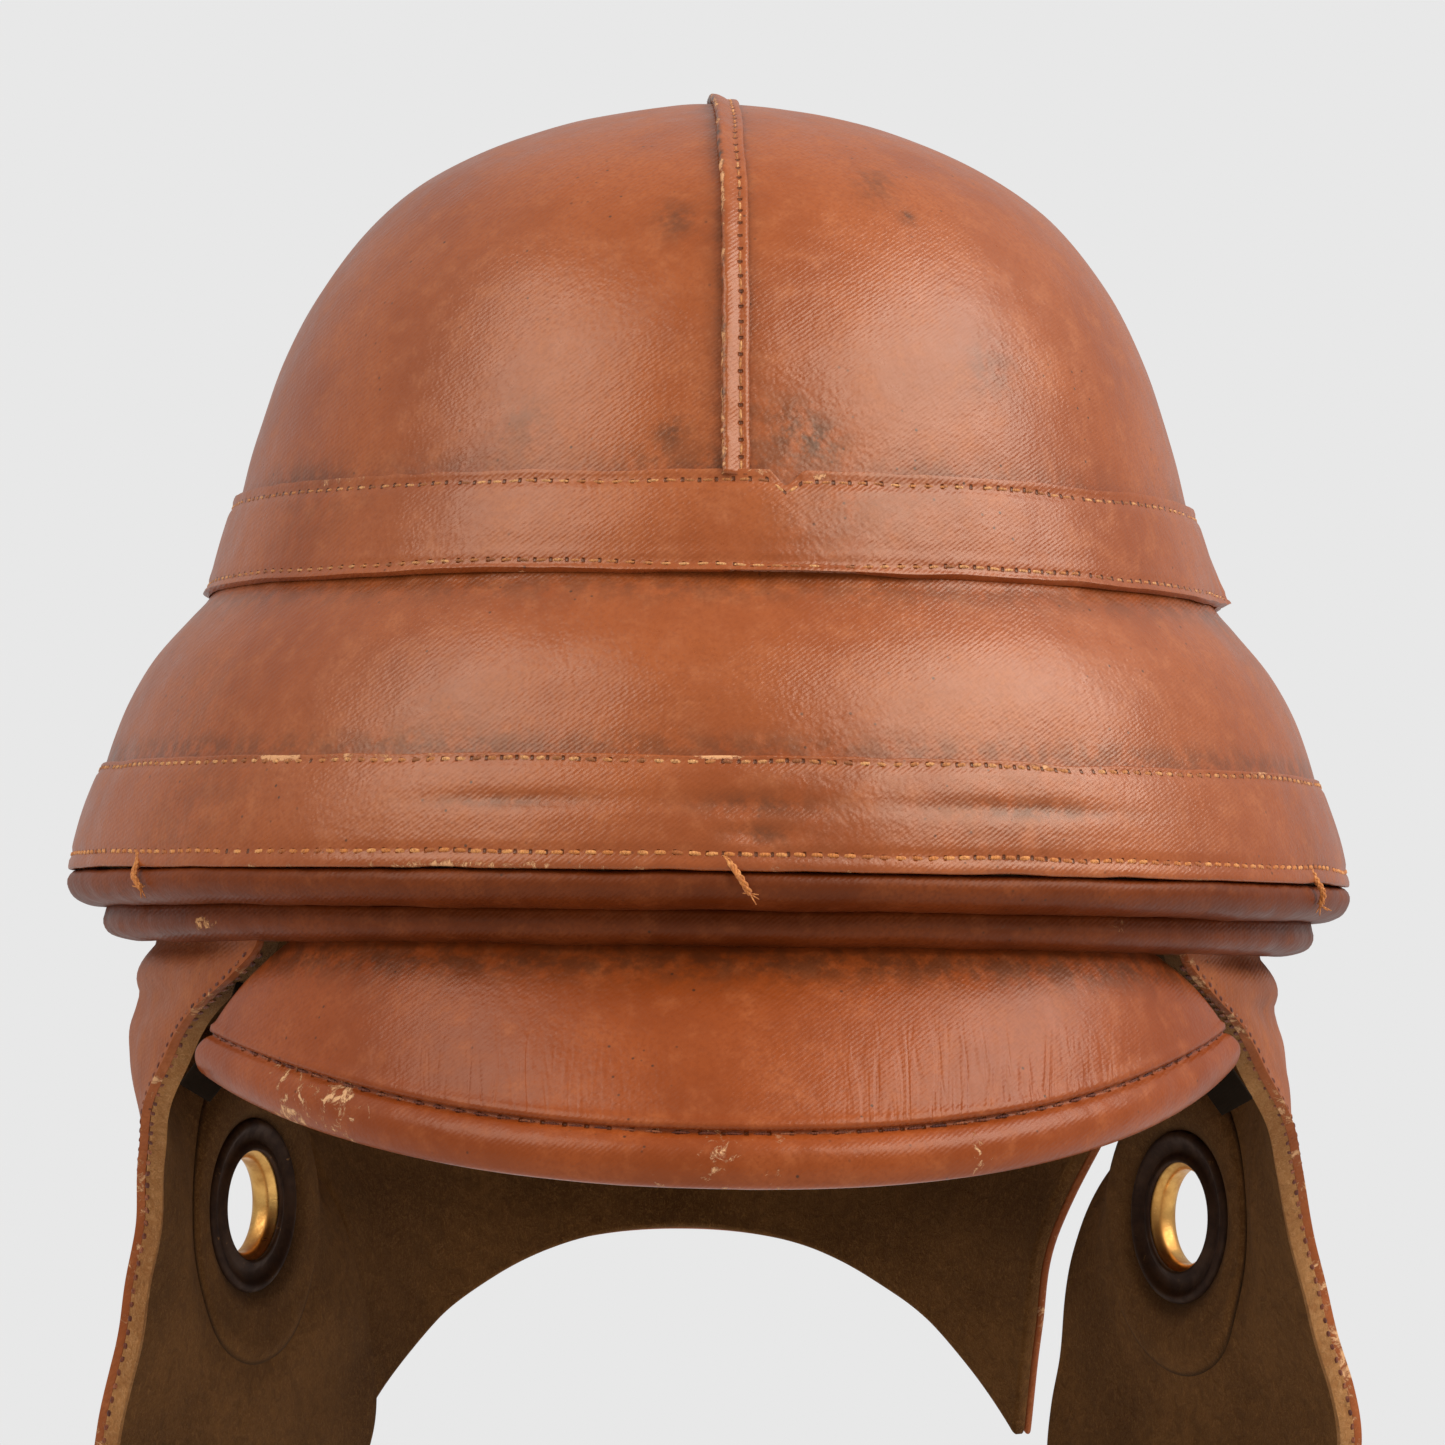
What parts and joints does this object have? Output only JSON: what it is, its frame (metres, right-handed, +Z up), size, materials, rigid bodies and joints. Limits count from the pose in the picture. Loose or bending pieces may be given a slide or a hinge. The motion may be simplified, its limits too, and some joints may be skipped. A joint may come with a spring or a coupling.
{
  "type": "flying helmet",
  "caption": "Leather-covered cork crash helmet for flying, with a flared bell, stiff peak, ear flaps with metal-lined ear holes, nape curtain and buckled chin strap.",
  "frame": {"origin": "centre of the head opening, in the plane of the helmet's rim; the head carries the helmet from here", "axes": "+Z up through the crown; the wearer looks along -Y, so the peak points to -Y; +X is the wearer's left"},
  "size_m": [0.262, 0.3161, 0.4659],
  "materials": {
    "tan_leather": "worn semi-gloss pebble grain, tan to orange brown",
    "strap_leather": "satin vegetable-tanned strap leather",
    "lining_felt": "olive-brown wool felt",
    "cork": "pressed cork, matte",
    "cord_core": "cotton cord, matte",
    "fibre_board": "stiff fibre board, matte",
    "black_lining": "thin black lining leather, matte",
    "brown_enamel": "dark brown japanned steel",
    "brass": "aged satin brass"
  },
  "bodies": {
    "helmet": {"crown_shell": "cork", "crown_leather_left": "tan_leather", "crown_leather_right": "tan_leather", "crown_seam_welt": "tan_leather", "crown_band": "tan_leather", "bell_leather": "tan_leather", "bell_shell": "cork", "brim_band": "tan_leather", "felt_spacer_ring": "lining_felt", "facing_ring": "tan_leather", "outer_edge_roll": "tan_leather", "outer_edge_roll_cord": "cord_core", "inner_edge_roll": "tan_leather", "inner_edge_roll_cord": "cord_core", "felt_liner": "lining_felt", "sweatband": "strap_leather", "head_cradle": "strap_leather", "crown_pad": "lining_felt", "flap_root_leather_left": "tan_leather", "flap_root_leather_right": "tan_leather", "flap_root_lining_left": "lining_felt", "flap_root_lining_right": "lining_felt", "nape_curtain_leather": "tan_leather", "nape_curtain_lining": "lining_felt", "peak_board": "fibre_board", "peak_top_leather": "tan_leather", "peak_under_lining": "black_lining", "peak_binding": "tan_leather"},
    "ear_flap_left": {"ear_flap_leather_left": "tan_leather", "ear_flap_lining_left": "lining_felt", "ear_patch_left": "lining_felt", "ear_grommet_left": "brass", "ear_grommet_washer_left": "brown_enamel", "strap_tab_left": "strap_leather"},
    "ear_flap_right": {"ear_flap_leather_right": "tan_leather", "ear_flap_lining_right": "lining_felt", "ear_patch_right": "lining_felt", "ear_grommet_right": "brass", "ear_grommet_washer_right": "brown_enamel", "strap_tab_right": "strap_leather"},
    "chin_strap": {"chin_strap": "strap_leather"},
    "buckle_chape": {"buckle_chape": "strap_leather", "strap_keeper": "strap_leather"},
    "buckle_frame": {"buckle_frame": "brass"},
    "buckle_prong": {"buckle_prong": "brass"}
  },
  "joints": [
    {"name": "ear_flap_left_hinge", "type": "hinge", "parent": "helmet", "child": "ear_flap_left", "pos_m": [0.11723, 0, -0.0132], "axis": [0, -1, 0], "range_deg": [-10, 45], "stiffness_Nm_per_rad": 0.3},
    {"name": "ear_flap_right_hinge", "type": "hinge", "parent": "helmet", "child": "ear_flap_right", "pos_m": [-0.11723, 0, -0.0132], "axis": [0, 1, 0], "range_deg": [-10, 45], "stiffness_Nm_per_rad": 0.3},
    {"name": "chin_strap_hinge", "type": "hinge", "parent": "ear_flap_left", "child": "chin_strap", "pos_m": [0.10284, 0.01889, -0.1407], "axis": [0.481, -0.8767, 0], "range_deg": [-45, 60]},
    {"name": "buckle_chape_hinge", "type": "hinge", "parent": "ear_flap_right", "child": "buckle_chape", "pos_m": [-0.10284, 0.01889, -0.1407], "axis": [0.481, 0.8767, 0], "range_deg": [-45, 60]},
    {"name": "buckle_frame_hinge", "type": "hinge", "parent": "buckle_chape", "child": "buckle_frame", "pos_m": [-0.10284, 0.01889, -0.1677], "axis": [0.481, 0.8767, 0], "range_deg": [-40, 40]},
    {"name": "buckle_prong_hinge", "type": "hinge", "parent": "buckle_frame", "child": "buckle_prong", "pos_m": [-0.10284, 0.01889, -0.1677], "axis": [0.481, 0.8767, 0], "range_deg": [0, 75]}
  ]
}
